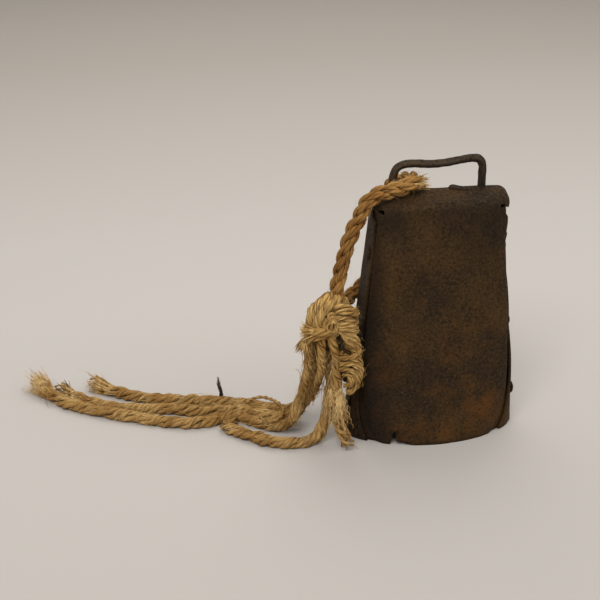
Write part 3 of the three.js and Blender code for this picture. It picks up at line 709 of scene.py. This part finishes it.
def outward(o, p):
    """The outside's normal at one of its points."""
    w, d, n = o
    nx = math.copysign((abs(p.x) / w) ** (n - 1) / w, p.x)
    ny = math.copysign((abs(p.y) / d) ** (n - 1) / d, p.y)
    return Vector((nx, ny)).normalized()


def even_run(o, start, end, count):
    """Evenly spaced points of the outside from one angle to the other."""
    fine = [outline_point(o, start + (end - start) * i / 240) for i in range(241)]
    lengths = [0.0]
    for a, b in zip(fine, fine[1:]):
        lengths.append(lengths[-1] + (b - a).length)
    run, k = [], 0
    for i in range(count + 1):
        want = lengths[-1] * i / count
        while k < 239 and lengths[k + 1] < want:
            k += 1
        span = lengths[k + 1] - lengths[k]
        run.append(fine[k].lerp(fine[k + 1], (want - lengths[k]) / span if span else 0))
    return run


def ease(low, high, x):
    """A soft step from 0 to 1."""
    t = min(1.0, max(0.0, (x - low) / (high - low)))
    return t * t * (3 - 2 * t)


def free_edge(z):
    """How far forward the back half's flange reaches, as a share of the half depth."""
    return 0.42 + 0.16 * (1 - z / EAVE_Z)


def panel_row(z, back):
    """One level of a half: its flange, face and flange, from left to right seen from outside it."""
    o = outline(z)
    quarter = math.pi / 4
    if back:
        reach = math.asin(free_edge(z) ** (o[2] / 2))
        stops = [-reach, quarter, 3 * quarter, math.pi + reach]
    else:
        reach = math.asin(0.3 ** (o[2] / 2))
        stops = [math.pi - reach, 5 * quarter, 7 * quarter, 2 * math.pi + reach]
    row = even_run(o, stops[0], stops[1], FLANGE)[:-1] + even_run(o, stops[1], stops[2], FACE)[:-1]
    row += even_run(o, stops[2], stops[3], FLANGE)
    edge = free_edge(z)
    start = edge + 0.38 - 0.2 * (1 - z / EAVE_Z)
    placed = []
    for p in row:
        inset = 0.0 if back else ease(-start, -edge - 0.07, p.y / o[1]) * (SHEET + GAP)
        if back and p.x > 0:
            inset -= 0.9 * ease(0.0, -edge, p.y / o[1]) * abs(math.sin(math.pi * (z - 24) / 49)) * (24 < z < 140)
        placed.append(p - outward(o, p) * inset)
    return placed


def crown_profile(t):
    """Half depth and height of the crown from its eave at 0 to its ridge at 1."""
    y0 = outline(PANEL_TOP)[1]
    bend = [Vector((y0, PANEL_TOP)), Vector((y0 - 0.4, 153.6)), Vector((y0 - 1.6, 155.2)), Vector((y0 - 5.4, 156))]
    bend[3].y = RIDGE_Z - bend[3].x * (RIDGE_Z - EAVE_Z) / CROWN_D
    if t < 0.5:
        s = t * 2
        return (bend[0] * (1 - s) ** 3 + bend[1] * 3 * s * (1 - s) ** 2
                + bend[2] * 3 * s * s * (1 - s) + bend[3] * s ** 3)
    return bend[3].lerp(Vector((0, RIDGE_Z - 0.4)), t * 2 - 1)


def dented(p, away):
    """The hammered and knocked surface: how far a point stands in or out along its normal."""
    broad = noise.noise(Vector(p) / 31) * 0.55 + noise.noise(Vector(p) / 12 + Vector((7, 0, 0))) * 0.22
    return Vector(p) + Vector(away) * min(0.25, broad - 0.1)


columns = FLANGE * 2 + FACE
rows = PANEL_ROWS * 2 + CROWN_ROWS
levels = [PANEL_TOP * k / PANEL_ROWS for k in range(PANEL_ROWS + 1)]
front_rows = [panel_row(z, False) for z in levels]
back_rows = [list(reversed(panel_row(z, True))) for z in levels]
shell = bmesh.new()
bmesh.ops.create_grid(shell, x_segments=columns, y_segments=rows, size=0.5)
gone = []
for v in shell.verts:
    i, j = round((v.co.x + 0.5) * columns), round((v.co.y + 0.5) * rows)
    flange = i < FLANGE or i > FLANGE + FACE
    if j <= PANEL_ROWS or j >= rows - PANEL_ROWS:
        back = j > PANEL_ROWS
        k = rows - j if back else j
        z = levels[k]
        spot = (back_rows if back else front_rows)[k][i]
        away = outward(outline(z), spot)
        lip = (0.2 + max(0.0, noise.noise(Vector((spot.x / 8, spot.y / 8, 3))) * 1.5)) * ease(9, 0, z)
        if not back:
            lip += 7.2 * ease(1.9, 0.7, abs(spot.x + 27.6 - 0.12 * z)) * ease(9, 2, z)
            lip += 2.4 * ease(-28.5, -27.2, spot.x) * ease(-14, -24, spot.x) * ease(12, 0, z)
        if flange:
            side = (FLANGE - i if i < FLANGE else i - FLANGE - FACE) / FLANGE
            z *= 1 - (0.06 if back else 0.0) * ease(0.2, 1.0, side) * ease(0.5, 1, k / PANEL_ROWS)
            z += (1.0 if spot.x > 0 else 2.4) * side * ease(0.86, 1, k / PANEL_ROWS)
            spot = spot + away * (4.2 if spot.x > 0 else 1.2) * min(1, 1.6 * side) * ease(126, 150, levels[k])
        placed = dented((spot.x, spot.y, z), (away.x, away.y, 0))
        placed.z = z + lip
    else:
        if flange:
            gone.append(v)
        share = (j - PANEL_ROWS) / CROWN_ROWS
        half = 1 if share < 0.5 else -1
        t = 1 - abs(2 * share - 1)
        y, z = crown_profile(t)
        column = min(FLANGE + FACE, max(FLANGE, i))
        under = front_rows[-1][column]
        roof = ease(0.1, 0.8, t)
        edge, curl_r, sweep = (33.6, 6.6, 95) if under.x < 0 else (35.6, 7.8, 112)
        base = abs(under.x / front_rows[-1][FLANGE].x)
        turn = math.radians(sweep) * max(0.0, base - 0.82) / 0.18
        x = math.copysign(edge * min(1, base / 0.82) + curl_r * math.sin(turn), under.x)
        x = under.x + (x - under.x) * roof
        z -= curl_r * (1 - math.cos(turn)) * roof
        hug = abs(under.y) / outline(PANEL_TOP)[1]
        y *= hug + (1 - hug) * ease(0.0, 0.7, t)
        z += noise.noise(Vector((x / 13, y / 13, 9))) * 0.5 * t
        placed = Vector((x, -half * y, z))
    v.co = placed * MM
bmesh.ops.delete(shell, geom=gone, context="VERTS")
bmesh.ops.recalc_face_normals(shell, faces=shell.faces)
front_face = min(shell.faces, key=lambda f: (f.calc_center_median() - Vector((0, -0.025, 0.07))).length)
if front_face.normal.y > 0:
    bmesh.ops.reverse_faces(shell, faces=shell.faces)
shell = finished("bell_shell_folded", shell, SHELL_IRON)
thick = shell.modifiers.new("thick", "SOLIDIFY")
thick.thickness = SHEET * MM
thick.offset = -1
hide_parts("bell_shell")

# ---------------------------------------------------------------------------
# Rivets: six soft iron rivets, three down each lapped side, hammered over on
# a domed head outside, and rusted the same brown as the sheet they hold.
# ---------------------------------------------------------------------------
def coat(node, material):
    """Puts a material in every slot of a CAD node that is shown as it is."""
    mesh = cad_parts[node].data
    if not mesh.materials:
        mesh.materials.append(material)
    for k in range(len(mesh.materials)):
        mesh.materials[k] = material


RIVET_IRON = iron("rivet_iron", (0.024, 0.016, 0.01, 1), (0.05, 0.032, 0.016, 1), (0.1, 0.04, 0.012, 1), bump=0.6)
for side in ("left", "right"):
    for level in ("top", "middle", "bottom"):
        coat("rivet_" + side + "_" + level, RIVET_IRON)

# ---------------------------------------------------------------------------
# Bail: a bar hammered to a rough square, 5 mm from corner to corner, bent to a hoop, its ends spread under the crown,
# a little greyer than the sheet and rustier at the top of its left leg.
# ---------------------------------------------------------------------------
BAIL_IRON = iron("forged_bail_iron", (0.035, 0.026, 0.018, 1), (0.062, 0.043, 0.027, 1), (0.11, 0.05, 0.018, 1),
                 [((-27, 0, 168), (8, 8, 8), 0.35)], bump=0.7, metallic=0.3)
bail_line = smooth_line([
    (-26.8, 0, 149.6), (-26.9, 0, 156), (-26.9, 0, 163), (-26.5, 0, 169), (-24.6, 0, 173.2), (-20.6, 0, 175.2),
    (-14, 0, 175.5), (-5, 0, 174.7), (4, 0, 175), (13, 0, 176.2), (20.4, 0, 177), (24.6, 0, 176.2),
    (26.7, 0, 173), (27, 0, 167), (27, 0, 160), (26.8, 0, 149.6)], 0.8)


def forged(share):
    """Half the bar's thickness, uneven from the hammer and spread at both feet."""
    end = min(share, 1 - share)
    return 2.15 + 0.22 * noise.noise(Vector((share * 30, 0, 0))) + 1.9 * ease(0.022, 0.006, end)


bm = new_strands()
add_yarn(bm, bail_line, forged, 16, 0.0, squared=0.16)
bail = finished("bail_forged", bm, BAIL_IRON)
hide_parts("bail_handle")

# ---------------------------------------------------------------------------
# Clapper: an iron staple clinched over the crown holds a link, and the link
# holds the eye of a rod that carries a forged ball, peened on at its end.
# ---------------------------------------------------------------------------
CLAPPER_IRON = iron("clapper_iron", (0.026, 0.019, 0.014, 1), (0.048, 0.031, 0.019, 1), (0.1, 0.04, 0.014, 1),
                    bump=0.6)
staple_line = smooth_line([
    (-6.8, 8.6, 157.4), (-7.5, 4.4, 159.2), (-8, 0.8, 160.2), (-8, 0.1, 157.4), (-8, 0, 151.4), (-6.2, 0, 146.6),
    (0, 0, 144.1), (6.2, 0, 146.6), (8, 0, 151.4), (8, 0, 157.4), (8.6, -0.3, 159.8), (13, -1.5, 159.3),
    (20, -3.2, 158.4)], 0.6)
bm = new_strands()
add_yarn(bm, staple_line, 1.55, 12, 0.0)
staple = finished("staple_clinched", bm, CLAPPER_IRON)
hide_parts("clapper_staple")
for node in ("clapper_link", "clapper_rod", "clapper_ball"):
    coat(node, CLAPPER_IRON)

# ---------------------------------------------------------------------------
# Studio: a pale floor with painted light on it, lighter in a band across the middle, with soft light from the left and
# above, and a weaker one from the right, so the iron keeps its shape.
# ---------------------------------------------------------------------------
bm = bmesh.new()
bmesh.ops.create_grid(bm, x_segments=1, y_segments=1, size=4)
floor_mesh = bpy.data.meshes.new("floor")
bm.to_mesh(floor_mesh)
bm.free()
PLAIN, tree, shader = new_material("floor_with_painted_light")
far = add_node(tree, "ShaderNodeSeparateXYZ", [(0, add_node(tree, "ShaderNodeTexCoord").outputs["Object"])]).outputs["Y"]
# Painted light on the floor: lighter in a band across the middle, darker in front of it and beyond it.
painted_light_band = blended(tree, ranged(tree, far, -0.35, 0.2), (0.415, 0.39, 0.364, 1), (0.51, 0.48, 0.45, 1))
tree.links.new(blended(tree, ranged(tree, far, 0.35, 1.1), painted_light_band, (0.44, 0.405, 0.362, 1)), shader.inputs["Base Color"])
shader.inputs["Roughness"].default_value = 0.9
shader.inputs["Specular IOR Level"].default_value = 0.15
floor_mesh.materials.append(PLAIN)
floor = bpy.data.objects.new("floor", floor_mesh)
bpy.context.scene.collection.objects.link(floor)


def soft_light(name, place, aim_at, size, power, colour):
    """A square area light at a place, turned to a point."""
    lamp = bpy.data.lights.new(name, "AREA")
    lamp.size, lamp.energy, lamp.color = size, power, colour
    made = bpy.data.objects.new(name, lamp)
    made.location = place
    made.rotation_euler = (Vector(aim_at) - Vector(place)).to_track_quat("-Z", "Y").to_euler()
    bpy.context.scene.collection.objects.link(made)


soft_light("key", (-0.5, -1.1, 1.6), (-0.05, 0, 0.06), 1.0, 26, (1, 0.98, 0.95))
soft_light("fill", (1.3, -0.6, 1.2), (0, 0, 0.06), 1.4, 9, (1, 0.98, 0.96))
soft_light("top", (0.1, 0.9, 1.6), (-0.05, 0.05, 0), 1.6, 14, (1, 0.98, 0.95))
world = bpy.data.worlds.new("studio")
world.use_nodes = True
world.node_tree.nodes["Background"].inputs["Color"].default_value = (1, 0.97, 0.94, 1)
world.node_tree.nodes["Background"].inputs["Strength"].default_value = 0.38
bpy.context.scene.world = world
bpy.context.scene.view_settings.view_transform = "Standard"
